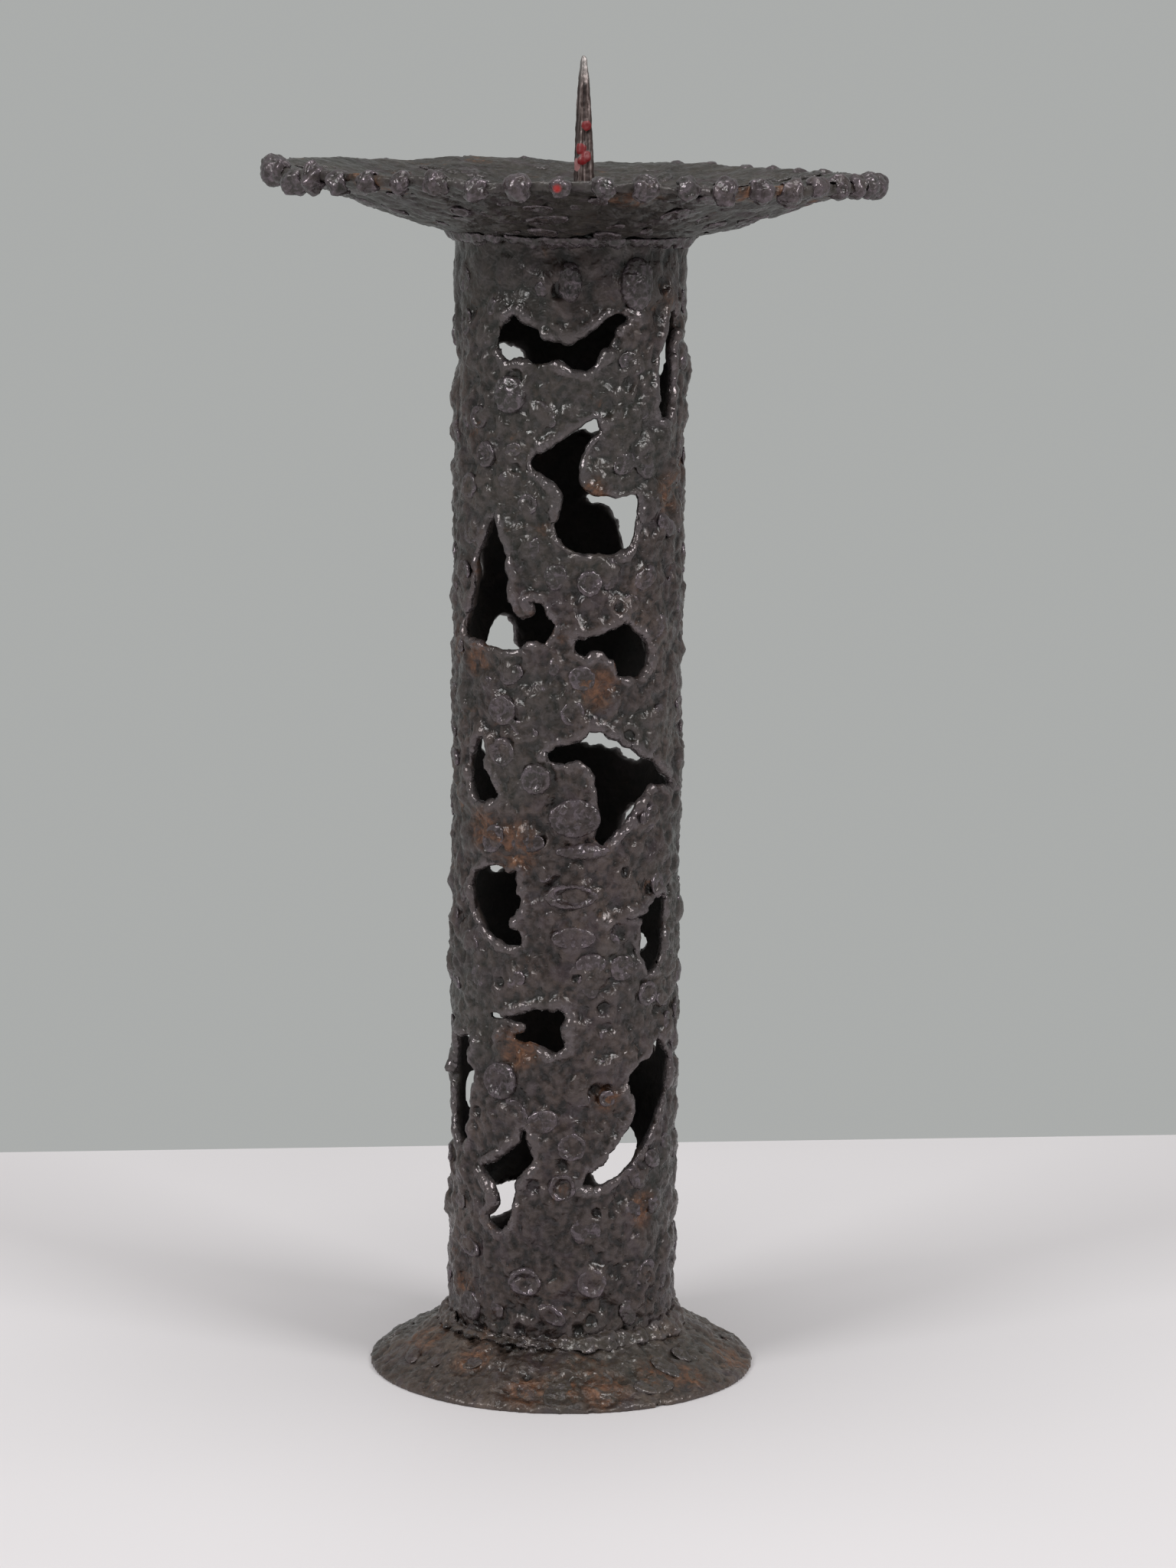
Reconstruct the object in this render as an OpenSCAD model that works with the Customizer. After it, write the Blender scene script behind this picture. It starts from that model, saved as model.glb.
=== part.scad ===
// Welded steel candlestick: a pierced tube on a dished foot, with a drip pan and a forged spike.
// Millimetres. Z is up, the table is at z = 0, and the tube stands on the Z axis.
// The front of the tube faces -Y. A place on the tube is given as [arc, height]: the arc is
// measured round the tube from its front line, positive towards +X, and the height from the table.

/* [Foot] */
// Diameter of the foot plate
foot_d = 131.2; // [112:0.2:170]
// Thickness of the foot plate
foot_t = 3; // [2:0.5:5]
// Height of the crown of the foot above the table
foot_rise = 16; // [10:1:32]
// Height of the worn outer edge of the foot
foot_edge = 1.2; // [0.6:0.2:2]
// How far the flat crown of the foot stands out past the tube
foot_shoulder = 1; // [0.5:0.5:4]

/* [Column] */
// Outer diameter of the tube
column_d = 76.1; // [64:0.1:90]
// Wall of the tube
column_wall = 3.2; // [2:0.1:5]
// Length of the tube, from the foot to the drip pan
column_len = 369; // [280:1:480]

/* [Drip pan] */
// Diameter of the drip pan, without the beads on its rim
pan_d = 200; // [150:1:250]
// Thickness of the plate of the drip pan
pan_t = 3; // [2:0.5:5]
// How far the rim stands above the floor of the drip pan
pan_rise = 17.5; // [8:0.5:40]
// How far the flat floor of the drip pan stands out past the tube
pan_shoulder = 1; // [0.5:0.5:6]
// How far the drip pan leans towards +X, in degrees
pan_tilt = 0.92; // [0:0.02:3]

/* [Pricket] */
// Length of the spike above the floor of the drip pan
pricket_len = 55; // [30:1:90]
// Side of the square root of the spike
pricket_side = 6.4; // [4:0.1:10]
// Turn of the square root about the spike's own axis, in degrees
pricket_turn = 28; // [0:1:45]
// Distance from the centre of the pan to the root of the spike, along +X
pricket_x = 4.2; // [0:0.1:10]
// How far the tip stands back from the root, along -X
pricket_lean = 1.6; // [0:0.1:6]
// Width of the blunt tip of the spike
pricket_tip = 0.8; // [0.4:0.1:2]

/* [Weld seams] */
// Radius of the weld bead between the foot and the tube
foot_bead = 3.6; // [2:0.1:5]
// Radius of the weld bead between the tube and the drip pan
pan_bead = 3.4; // [2:0.1:5]
// Radius of the weld bead round the root of the spike
pricket_bead = 2.2; // [1.5:0.1:4]
// Distance from one ripple of a weld bead to the next
ripple_pitch = 7; // [5:0.5:9]

/* [Weld drops] */
// Diameter of an ordinary weld drop
drop_d = 7; // [5:0.5:9]
// Height of a weld drop, as a part of its diameter
drop_dome = 0.28; // [0.15:0.01:0.4]
// Least gap between two drops
drop_gap = 2.4; // [1.5:0.1:8]
// Number of drops thrown at the tube, before those that land on an opening or a drop are left out
column_darts = 800; // [0:50:900]
// Number of drops thrown at each face of the drip pan
pan_darts = 200; // [0:20:260]
// Number of drops thrown at the foot
foot_darts = 60; // [0:10:120]
// Width of a melted bead on the rim of the drip pan
rim_bead_d = 8.4; // [6:0.2:10]
// Distance from one rim bead to the next
rim_pitch = 13.1; // [12.4:0.1:20]

/* [Hidden] */
$fn = 48;

// Gap left under what is set on a curved or a leaning face
seat_gap = 0.1;

iron = [0.20, 0.18, 0.17];
iron_dark = [0.14, 0.13, 0.13];
weld_iron = [0.25, 0.21, 0.22];
rusty_iron = [0.33, 0.23, 0.17];
spike_steel = [0.38, 0.30, 0.28];

column_r = column_d / 2;
column_top = foot_rise + column_len;
foot_r = foot_d / 2;
crown_r = column_r + foot_shoulder;
pan_r = pan_d / 2;
pan_floor_r = column_r + pan_shoulder;

// The openings and the drops were laid out on a tube of this diameter, length and base height.
// They keep their places on it when the tube is made wider or longer.
drawn_d = 76.1;
drawn_len = 369;
drawn_base = 16;
half_turn = PI * drawn_d / 2;
function turn(arc) = arc / half_turn * 180;
function level(height) = foot_rise + (height - drawn_base) * column_len / drawn_len;
// A place on the back is measured from the back line, also positive towards +X.
function behind(points) = [for (i = [len(points) - 1:-1:0]) [half_turn - points[i][0], points[i][1]]];

// Flame-cut openings of the front, from the drip pan down.
front_openings = [
    // under the nodule, with a hanging lip in the middle
    [[-23, 358], [-18, 362], [-13, 357], [-7, 351.5], [0, 351], [6, 355], [11, 360], [19, 360.3],
     [25, 358.5], [18, 358], [14, 352], [9, 344], [5, 340.5], [1, 342], [-5, 344.5], [-15, 344.8],
     [-21, 343], [-25, 348]],
    // tall slot near the right side
    [[36.5, 360], [36, 352], [33, 340], [31.2, 329], [34, 326], [39, 324.5], [42.5, 332],
     [42.5, 347], [45, 354], [45, 360], [41, 361.5]],
    // hook round a tongue that comes from the right
    [[10, 327.5], [4, 325], [-3, 319.5], [-12.5, 314.5], [-12, 310], [-7, 306.5], [-2, 301],
     [-4.5, 294], [-2.5, 286.5], [4, 283], [12, 282.2], [21, 281.5], [24, 289], [25.5, 301.5],
     [17, 300.5], [9, 302.5], [4, 306.5], [4, 313], [7, 319.5], [11, 323]],
    // tall flame shape at the left with a ragged foot
    [[-26, 296], [-31, 287], [-35, 280], [-36, 269], [-40, 261], [-43.5, 254], [-35, 251],
     [-25, 249.5], [-18, 250], [-12, 253.5], [-7, 253], [-3.5, 258], [-8, 266], [-13.5, 268],
     [-12.5, 262], [-16.5, 260.5], [-19.5, 268], [-20.5, 282]],
    // ragged window under the hook
    [[2.5, 256], [11, 256.2], [18, 261], [24, 257], [31, 252], [30, 241.5], [18.5, 241],
     [15, 247], [10, 250], [7, 247.5], [3, 251.5]],
    // wide wing that falls to a point at the bottom
    [[-7.5, 216], [-3, 220], [3, 220], [8, 226], [14, 222.5], [21, 219], [30, 214], [40, 207.5],
     [48, 200.5], [37, 203.5], [30, 203], [25, 195], [18, 189], [11.5, 183], [10.3, 193],
     [10, 206], [6, 214], [-1, 212]],
    // leaning drop at the left
    [[-31, 220.5], [-36, 217], [-39, 207], [-36, 198.5], [-29, 196.5], [-23, 200], [-25, 206],
     [-30, 213]],
    // toothed window at the left
    [[-33, 175.5], [-27, 177.3], [-20, 176.5], [-15.5, 178], [-16.5, 173], [-14.5, 168],
     [-15, 162], [-19, 159], [-13.5, 152.5], [-20, 150], [-27, 153], [-34, 159], [-37.5, 169],
     [-35.5, 174]],
    // window at the right with a thin crack to the front
    [[12, 160.4], [26, 161.8], [34, 165], [40, 168.5], [41.5, 160], [40, 147], [36.5, 142.5],
     [32, 140], [28, 145], [27, 153], [27.5, 160.2], [18, 159.6]],
    // wide torn mouth
    [[-39, 125.6], [-27, 127.4], [-18, 127.6], [-12, 131], [0, 132], [2, 128], [0.5, 124.5],
     [1.8, 118], [-3.5, 114], [-9, 118.3], [-18, 119.3], [-25, 119.6], [-15, 121.3],
     [-13.5, 124.2], [-18, 126]],
    // tall gap along the left side
    [[-50, 114], [-45, 117.3], [-35, 117.5], [-33.5, 115], [-38, 110], [-33, 104.5],
     [-37, 98.5], [-37.5, 82], [-41, 78], [-47, 79.5], [-51, 86], [-51.5, 101]],
    // bitten hollow at the lower left
    [[-13, 90.5], [-10, 86], [-9, 78], [-14, 72.5], [-17.5, 65.5], [-16.5, 60], [-19, 53.5],
     [-23, 52.5], [-29.5, 57.5], [-23.5, 61.5], [-24.5, 67], [-32.5, 73.5], [-25, 78],
     [-17, 83]],
    // long hook at the lower right
    [[38, 118.8], [42, 113.5], [46.8, 110], [46, 102], [40, 95], [33, 83], [24, 75],
     [13, 68.5], [5.5, 69.5], [9, 75.5], [16, 80], [23, 89.5], [26.5, 96], [22, 103],
     [24, 109], [31, 111]]
];

// Openings of the back, from the drip pan down.
back_openings = [
    [[-6, 353], [3, 351], [11, 354], [15, 360], [8, 366], [-2, 366.5], [-8, 360]],
    [[29, 337], [36, 334.5], [42, 340], [42.5, 350], [36, 353.5], [30, 347]],
    [[-41, 337], [-33, 332.5], [-21, 335], [-15.5, 339], [-18, 346], [-29, 346.5], [-39, 344]],
    [[-3, 317], [5, 314], [13, 315], [17, 321], [10, 328], [1, 325.5]],
    [[-38, 309], [-31, 303], [-21, 306], [-16, 314], [-22, 321], [-33, 319]],
    [[2, 292], [13, 290], [18, 285], [19.5, 276], [24, 269.5], [29.5, 275], [30.5, 286], [28, 296],
     [17, 300]],
    [[-43, 272], [-35, 264], [-26, 268], [-22, 278], [-28, 288], [-37, 290]],
    [[-35, 239], [-33, 246], [-28, 254], [-22, 254], [-18.5, 246], [-15.5, 238], [-24, 232],
     [-32, 233.5]],
    [[14, 244], [22, 238], [32, 241], [35, 250], [28, 257], [18, 254]],
    [[2, 208], [15, 206.5], [28, 202], [33, 208], [29, 216], [20, 220.5], [9, 221.5]],
    [[-36, 208], [-29, 203], [-21, 206], [-20, 214], [-27, 220], [-35, 216]],
    [[-31, 164], [-22, 156], [-12, 160], [-6, 170], [-9, 184], [-18, 194], [-27, 189], [-32, 177]],
    [[17, 170], [26, 166], [37, 172], [40, 183], [33, 191], [23, 188]],
    [[21.5, 138], [28, 136], [34, 140.5], [34, 147.5], [27, 147]],
    [[-46, 112], [-40, 117.5], [-28, 117.5], [-20.5, 113], [-25, 105], [-32, 101.5], [-39, 106]],
    [[-12, 137], [-3, 131], [6, 135], [7, 144], [-2, 150], [-11, 146]],
    [[24, 102], [32, 96], [41, 104], [40, 117], [31, 124], [23, 117]],
    [[-46, 97.5], [-36, 97], [-31, 91], [-35, 84], [-42, 83], [-48, 89]],
    [[-11, 84], [-4, 77], [4, 83], [5, 95], [-2, 103], [-10, 97]],
    [[9, 53], [10, 63], [15, 73], [23, 78], [29, 73], [31.5, 64], [27, 54], [18, 49]],
    [[-34, 44], [-27, 40.5], [-19, 44], [-11, 50], [-14, 56], [-24, 55], [-32, 51]]
];
openings = concat(front_openings, [for (outline = back_openings) behind(outline)]);

// Weld drops that stand out on the front, as [arc, height, diameter].
noted_drops = [
    [0, 371, 9], [-9, 369, 6], [23, 370, 12], [-20, 334, 10], [-8, 328, 6], [-31, 352, 6],
    [-33, 326, 8], [-41, 326, 6], [-30, 314, 7], [-39, 303, 7], [-19, 316, 6], [19, 312, 7],
    [27, 311, 7], [-4, 275, 7], [6, 273, 7], [14, 276, 6], [28, 274, 8], [35, 257, 7],
    [-19, 242, 7], [-22, 230, 9], [2, 230, 7], [-14, 224, 7], [-18, 213, 8], [-10, 203, 9],
    [1, 195, 11], [5, 181, 9], [-6, 176, 6], [3, 167, 12], [3, 154, 10], [15, 153, 7],
    [20, 144, 7], [31, 134, 7], [-17, 140, 6], [14, 110, 8], [16, 120, 6], [6, 100, 7],
    [14, 98, 7], [-22, 105, 10], [-26, 90, 6], [3, 84, 9], [-2, 66, 8], [8, 55, 8],
    [10, 37, 10], [-12, 37, 9], [31, 38, 7], [-35, 28, 9], [-23, 26, 6], [-3, 26, 7],
    [24, 25, 7], [36, 62, 7], [-43, 60, 7], [44, 80, 7], [-44, 230, 7], [43, 270, 7]
];

// Cuts the corners off a closed outline, which rounds it as a flame does.
function eased(points) = [
    for (i = [0:len(points) - 1])
        let (here = points[i], next = points[(i + 1) % len(points)])
            each [0.78 * here + 0.22 * next, 0.22 * here + 0.78 * next]
];
function firsts(points) = [for (p = points) p[0]];
function seconds(points) = [for (p = points) p[1]];

// Is a place inside an outline? Counts the sides that a line to the right of it meets.
function crossings(place, points) = [
    for (i = [0:len(points) - 1])
        let (a = points[i], b = points[(i + 1) % len(points)])
            if ((a[1] > place[1]) != (b[1] > place[1])
                && place[0] < (b[0] - a[0]) * (place[1] - a[1]) / (b[1] - a[1]) + a[0]) i
];
function inside(place, points) = len(crossings(place, points)) % 2 == 1;
// Does a circle of this radius at a place reach into an outline?
function meets(place, radius, points) =
    place[0] > min(firsts(points)) - radius && place[0] < max(firsts(points)) + radius
    && place[1] > min(seconds(points)) - radius && place[1] < max(seconds(points)) + radius
    && len([for (a = [0:45:315]) if (inside(place + radius * [cos(a), sin(a)], points)) a]) > 0;
// Is a circle clear of every opening, also round the back line?
function clear_of_openings(place, radius) = len([
    for (outline = openings, lap = [-2, 0, 2])
        if (meets([place[0] + lap * half_turn, place[1]], radius, outline)) lap
]) == 0;
// Is a drop at least this gap away from all the drops that are there already?
function lap(arc) = arc - 2 * half_turn * round(arc / (2 * half_turn));
function apart(place, kept, gap) = len([
    for (k = kept)
        if (norm([lap(place[0] - k[0]), place[1] - k[1]]) < (place[2] + k[2]) / 2 + gap) k
]) == 0;
// Keeps each dart in turn that lands clear of those kept before it.
function spread(darts, gap, kept = [], i = 0) =
    i == len(darts) ? kept
    : spread(darts, gap, apart(darts[i], kept, gap) ? concat(kept, [darts[i]]) : kept, i + 1);

seam_clearance = 10;
drop_margin = 0.8;
// The noted drops, and others strewn over the rest of the tube
function all_column_drops() =
    let (
        arcs = rands(-half_turn, half_turn, column_darts, 11),
        heights = rands(drawn_base + seam_clearance, drawn_base + drawn_len - seam_clearance, column_darts, 12),
        sizes = rands(0.7, 1.2, column_darts, 13)
    )
        spread([
            for (i = [0:column_darts - 1])
                let (place = [arcs[i], heights[i], drop_d * sizes[i]])
                    if (clear_of_openings(place, place[2] / 2 + drop_margin)) place
        ], drop_gap, noted_drops);

// The foot

foot_slope = atan((foot_rise - foot_edge) / (foot_r - crown_r));
foot_plumb_t = foot_t / cos(foot_slope);
foot_ring_r = foot_r - (foot_plumb_t - foot_edge) / tan(foot_slope);
foot_under_r = foot_r - (foot_rise - foot_t + foot_plumb_t - foot_edge) / tan(foot_slope);
function foot_top(r) = foot_edge + (foot_r - r) * tan(foot_slope);

// A dished plate, ground flat where it meets the table.
module foot_plate() {
    color(rusty_iron)
        rotate_extrude()
            polygon([
                [0, foot_rise - foot_t], [foot_under_r, foot_rise - foot_t], [foot_ring_r, 0],
                [foot_r, 0], [foot_r, foot_edge], [crown_r, foot_rise], [0, foot_rise]
            ]);
}

// The column

// A prism through one wall of the tube, square to the wall at the middle of the opening
module opening_cut(outline) {
    middle = (min(firsts(outline)) + max(firsts(outline))) / 2;
    from_axis = 5;
    past_wall = 5;
    rotate([0, 0, turn(middle)])
        translate([0, -from_axis, 0])
            rotate([90, 0, 0])
                linear_extrude(column_r + past_wall - from_axis)
                    polygon([for (p = eased(outline)) [column_r * sin(turn(p[0] - middle)), level(p[1])]]);
}

// The tube is cut along the slant of the pan that sits on it.
module above_column() {
    reach = column_d;
    translate([0, 0, column_top])
        rotate([0, pan_tilt, 0])
            translate([-reach, -reach, 0])
                cube([2 * reach, 2 * reach, reach]);
}

module column_tube() {
    spare = 5;
    color(iron)
        difference() {
            translate([0, 0, foot_rise])
                cylinder(r = column_r, h = column_len + spare);
            translate([0, 0, foot_rise - spare])
                cylinder(r = column_r - column_wall, h = column_len + 3 * spare);
            above_column();
            for (outline = openings)
                opening_cut(outline);
        }
}

// The drip pan

pan_steps = 10;
straight_share = 0.55;
// Rise of the pan's underside: a straight slope mixed with an S-shaped one, as hammered plate has.
function pan_curve(share) =
    pan_rise * (straight_share * share + (1 - straight_share) * (1 - cos(180 * share)) / 2);
function pan_share(r) = (r - pan_floor_r) / (pan_r - pan_floor_r);
function pan_slope(r) = atan((pan_curve(pan_share(r + 1)) - pan_curve(pan_share(r - 1))) / 2);
pan_line = [
    for (i = [0:pan_steps])
        [pan_floor_r + (pan_r - pan_floor_r) * i / pan_steps, pan_curve(i / pan_steps)]
];
function lifted(points, height) = [for (i = [len(points) - 1:-1:0]) points[i] + [0, height]];

// Places what is drawn on the pan, from the middle of its underside.
module on_pan() {
    translate([0, 0, column_top])
        rotate([0, pan_tilt, 0])
            children();
}

// The drops on the pan stop short of the beads on its rim.
puddle_outer_r = pan_r - rim_bead_d / 2 - 4;

module pan_shell() {
    rotate_extrude()
        polygon(concat([[0, 0]], pan_line, lifted(pan_line, pan_t), [[0, pan_t]]));
}

module drip_pan() {
    color(iron)
        on_pan() pan_shell();
}

// The pricket

pricket_rings = 12;
// Width at a share of the length below the tip: it swells fast at first, as a drawn point does.
function pricket_width(share) = pricket_tip + (pricket_side - pricket_tip) * pow(share, 0.45);
function pricket_ring(share) =
    let (half = pricket_width(share) / 2, flat = 0.7 * half) [
        for (quarter = [0:3], p = [[half, -flat], [half, flat]])
            let (a = 90 * quarter + pricket_turn)
                [
                    pricket_x - pricket_lean * (1 - share) + p[0] * cos(a) - p[1] * sin(a),
                    p[0] * sin(a) + p[1] * cos(a),
                    pan_t + pricket_len * (1 - share)
                ]
    ];

// A square taper with worn corners, joined ring by ring from its root to its tip
module pricket_taper() {
    rings = [for (i = [pricket_rings:-1:0]) pricket_ring(pow(i / pricket_rings, 1.6))];
    sides = len(rings[0]);
    last = pricket_rings * sides;
    polyhedron(
        points = [for (ring = rings) each ring],
        faces = concat(
            [[for (k = [0:sides - 1]) k]],
            [
                for (i = [0:pricket_rings - 1], k = [0:sides - 1])
                    let (a = i * sides + k, b = i * sides + (k + 1) % sides)
                        each [[a, a + sides, b], [b, a + sides, b + sides]]
            ],
            [[for (k = [sides - 1:-1:0]) last + k]]
        )
    );
}

module pricket() {
    color(spike_steel)
        on_pan() pricket_taper();
}

// The weld seams

// A closed run of ripples round the Z axis, through one profile of [radius, height] points for
// each section. The profiles go round clockwise, as seen with the radius to the right.
ripple_swell = [0.82, 1.04, 1.1, 0.96];
function ripple_sizes(ring_r, seed) =
    let (count = ceil(2 * PI * ring_r / ripple_pitch), sizes = rands(0.86, 1.1, count, seed))
        [for (size = sizes) each size * ripple_swell];
module weld_run(profiles) {
    sections = len(profiles);
    sides = len(profiles[0]);
    polyhedron(
        points = [
            for (i = [0:sections - 1], p = profiles[i])
                [p[0] * cos(360 * i / sections), p[0] * sin(360 * i / sections), p[1]]
        ],
        faces = [
            for (i = [0:sections - 1], k = [0:sides - 1])
                let (
                    next = (i + 1) % sections,
                    a = i * sides + k, b = i * sides + (k + 1) % sides,
                    c = next * sides + k, d = next * sides + (k + 1) % sides
                )
                    each [[a, c, b], [b, c, d]]
        ]
    );
}

// The run fills the corner between the tube and the top face of the foot.
function foot_bead_profile(bead) =
    let (inner_r = column_r + seat_gap, outer_r = crown_r + bead, seat = foot_rise + seat_gap) [
        [inner_r, seat], [inner_r, foot_rise + bead],
        [column_r + 0.62 * bead, foot_rise + 0.68 * bead],
        [outer_r, foot_top(outer_r) + seat_gap], [crown_r, seat]
    ];
module foot_weld() {
    color(weld_iron)
        weld_run([for (size = ripple_sizes(column_r, 3)) foot_bead_profile(foot_bead * size)]);
}

function pan_bead_profile(bead) =
    let (inner_r = column_r + seat_gap, outer_r = pan_floor_r + bead) [
        [inner_r, -seat_gap], [pan_floor_r, -seat_gap],
        [outer_r, lookup(outer_r, pan_line) - seat_gap],
        [column_r + 0.62 * bead, -0.68 * bead], [inner_r, -bead]
    ];
module pan_weld() {
    color(weld_iron)
        on_pan()
            weld_run([for (size = ripple_sizes(column_r, 8)) pan_bead_profile(pan_bead * size)]);
}

module pricket_weld() {
    lumps = 7;
    root_r = 0.6 * pricket_side;
    color(weld_iron)
        on_pan() difference() {
            translate([pricket_x, 0, pan_t])
                for (i = [0:lumps - 1])
                    rotate([0, 0, 360 * i / lumps + 11])
                        translate([root_r, 0, 0])
                            sphere(pricket_bead * (1 + 0.12 * sin(150 * i)));
            pricket_taper();
            translate([-column_r, -column_r, pan_t - column_r])
                cube([column_d, column_d, column_r]);
        }
}

// The weld drops

function ball_r(width, dome) = (width * width / 4 + dome * dome) / (2 * dome);
// A round drop with a flat underside, which stands on the face that it ran onto
module drop(width) {
    dome = drop_dome * width;
    ball = ball_r(width, dome);
    translate([0, 0, seat_gap])
        rotate_extrude($fn = 24)
            intersection() {
                translate([0, dome - ball])
                    circle(ball);
                square([width, dome + ball]);
            }
}

// Drops between two heights on the tube
module column_drops(from_level, to_level) {
    color(weld_iron)
        for (place = all_column_drops())
            if (place[1] >= from_level && place[1] < to_level)
                rotate([0, 0, turn(place[0])])
                    translate([0, -column_r, level(place[1])])
                        rotate([90, 0, 0])
                            drop(place[2]);
}
lower_band = drawn_base + drawn_len / 3;
upper_band = drawn_base + 2 * drawn_len / 3;
module upper_column_drops() column_drops(upper_band, drawn_base + drawn_len);
module middle_column_drops() column_drops(lower_band, upper_band);
module lower_column_drops() column_drops(drawn_base, lower_band);

// Places strewn between two radii, as [x, y, diameter]
function strewn(inner_r, outer_r, count, seed) =
    let (
        shares = rands(0, 1, count, seed),
        angles = rands(0, 360, count, seed + 1),
        sizes = rands(0.75, 1.4, count, seed + 2)
    )
        spread([
            for (i = [0:count - 1])
                let (r = sqrt(inner_r * inner_r + shares[i] * (outer_r * outer_r - inner_r * inner_r)))
                    [r * cos(angles[i]), r * sin(angles[i]), drop_d * sizes[i]]
        ], drop_gap);
// Turns the X axis to a place, as its child is drawn at the place's distance along it.
module towards(place) {
    rotate([0, 0, atan2(place[1], place[0])])
        children();
}
function distance(place) = norm([place[0], place[1]]);

module pan_underside_drops() {
    color(weld_iron)
        on_pan()
            for (place = strewn(pan_floor_r + 2 * pan_bead, puddle_outer_r, pan_darts, 31))
                let (r = distance(place))
                    towards(place)
                        translate([r, 0, lookup(r, pan_line)])
                            rotate([0, 180 - pan_slope(r), 0])
                                drop(place[2]);
}

module pan_floor_drops() {
    color(iron_dark)
        on_pan()
            for (place = strewn(pan_floor_r + 6, puddle_outer_r, pan_darts, 57))
                let (r = distance(place))
                    towards(place)
                        translate([r, 0, pan_t + lookup(r, pan_line)])
                            rotate([0, -pan_slope(r), 0])
                                drop(place[2]);
}

module foot_drops() {
    color(rusty_iron)
        for (place = strewn(crown_r + foot_bead + 5, foot_r - 6, foot_darts, 71))
            let (r = distance(place))
                towards(place)
                    translate([r, 0, foot_top(r)])
                        rotate([0, foot_slope, 0])
                            drop(place[2]);
}

// Melted beads that wrap the edge of the pan, some of them hanging lower
module rim_beads() {
    count = floor(2 * PI * pan_r / rim_pitch);
    sizes = rands(0.8, 1.15, count, 41);
    sag = rands(-0.8, 1.6, count, 42);
    bite = 0.7;
    rim_slope = atan((pan_rise - pan_line[pan_steps - 1][1]) / (pan_r - pan_line[pan_steps - 1][0]));
    color(weld_iron)
        on_pan()
            for (i = [0:count - 1])
                rotate([0, 0, 360 * i / count])
                    difference() {
                        translate([pan_r - bite, 0, pan_rise + pan_t / 2 - max(0, sag[i])])
                            sphere(d = rim_bead_d * sizes[i]);
                        translate([pan_r, 0, pan_rise - seat_gap])
                            rotate([0, -rim_slope, 0])
                                translate([-rim_bead_d, -rim_bead_d, 0])
                                    cube([rim_bead_d, 2 * rim_bead_d, pan_t + 2 * seat_gap]);
                    }
}

foot_plate();
column_tube();
drip_pan();
pricket();
foot_weld();
pan_weld();
pricket_weld();
rim_beads();
upper_column_drops();
middle_column_drops();
lower_column_drops();
pan_underside_drops();
pan_floor_drops();
foot_drops();
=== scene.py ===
# %% [markdown]
# # A torch-cut steel candlestick
# The real object is plain mild steel: a tube with openings burnt through its wall, a dished foot,
# a hammered drip pan and a forged spike for one candle. Drops and puddles of weld metal cover it.
# The CAD model already holds each piece at its real size. This script gives the pieces the skin
# that a torch and a welding rod leave, and sets them in soft light on a pale table.

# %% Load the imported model
import math
import random

import bmesh
import bpy
import numpy as np
from mathutils import Matrix, Vector
from mathutils.bvhtree import BVHTree


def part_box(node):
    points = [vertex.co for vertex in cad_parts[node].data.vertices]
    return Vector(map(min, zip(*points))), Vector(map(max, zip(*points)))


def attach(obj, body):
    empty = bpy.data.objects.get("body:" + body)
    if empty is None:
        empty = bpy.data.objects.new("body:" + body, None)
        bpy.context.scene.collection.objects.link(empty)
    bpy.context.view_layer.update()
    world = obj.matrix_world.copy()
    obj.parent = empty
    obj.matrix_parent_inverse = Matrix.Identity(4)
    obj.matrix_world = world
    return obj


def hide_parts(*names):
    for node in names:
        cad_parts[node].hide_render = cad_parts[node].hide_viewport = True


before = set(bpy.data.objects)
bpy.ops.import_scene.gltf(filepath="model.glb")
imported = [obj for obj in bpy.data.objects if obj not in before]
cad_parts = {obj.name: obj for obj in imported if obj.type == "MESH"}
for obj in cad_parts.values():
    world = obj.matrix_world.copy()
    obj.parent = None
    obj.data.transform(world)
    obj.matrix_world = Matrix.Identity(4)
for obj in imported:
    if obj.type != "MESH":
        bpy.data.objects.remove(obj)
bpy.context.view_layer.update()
MM = 0.001

# %% [markdown]
# ## Camera
# The camera repeats the photograph's view: a little above the table, looking slightly down, with a
# long lens. It was found by fitting a perspective to the tube, the foot, the rim and the spike.

# %% Camera
IMAGE_HEIGHT_PX = 2048
FOCAL_PX = 6157.6
CAMERA_PLACE = Vector((7.3, -1566.2, 464.2)) * MM
CAMERA_PITCH = math.radians(9.567)
CAMERA_ROLL = math.radians(0.562)


def make_camera():
    data = bpy.data.cameras.new("camera")
    data.sensor_fit = "VERTICAL"
    data.sensor_height = 36
    data.lens = FOCAL_PX * data.sensor_height / IMAGE_HEIGHT_PX
    camera = bpy.data.objects.new("camera", data)
    bpy.context.scene.collection.objects.link(camera)
    look = Matrix.Rotation(math.pi / 2 - CAMERA_PITCH, 4, "X") @ Matrix.Rotation(CAMERA_ROLL, 4, "Z")
    camera.matrix_world = Matrix.Translation(CAMERA_PLACE) @ look
    bpy.context.scene.camera = camera
    print("lens, mm:", round(data.lens, 1))


make_camera()

# %% [markdown]
# ## Small tools
# An operator works on whatever is selected, so each step starts by picking one piece. A modifier
# is added with its settings and applied at once, because the finished mesh is what is kept.


# %% Picking a piece and applying a modifier to it
def pick(piece):
    bpy.ops.object.select_all(action="DESELECT")
    piece.select_set(True)
    bpy.context.view_layer.objects.active = piece


def finish_with(piece, kind, **settings):
    pick(piece)
    bpy.ops.object.modifier_add(type=kind)
    modifier = piece.modifiers[-1]
    for name, value in settings.items():
        setattr(modifier, name, value)
    bpy.ops.object.modifier_apply(modifier=modifier.name)


def points(piece):
    found = np.zeros(len(piece.data.vertices) * 3, np.float32)
    piece.data.vertices.foreach_get("co", found)
    return found.reshape(-1, 3).astype(float)


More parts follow.
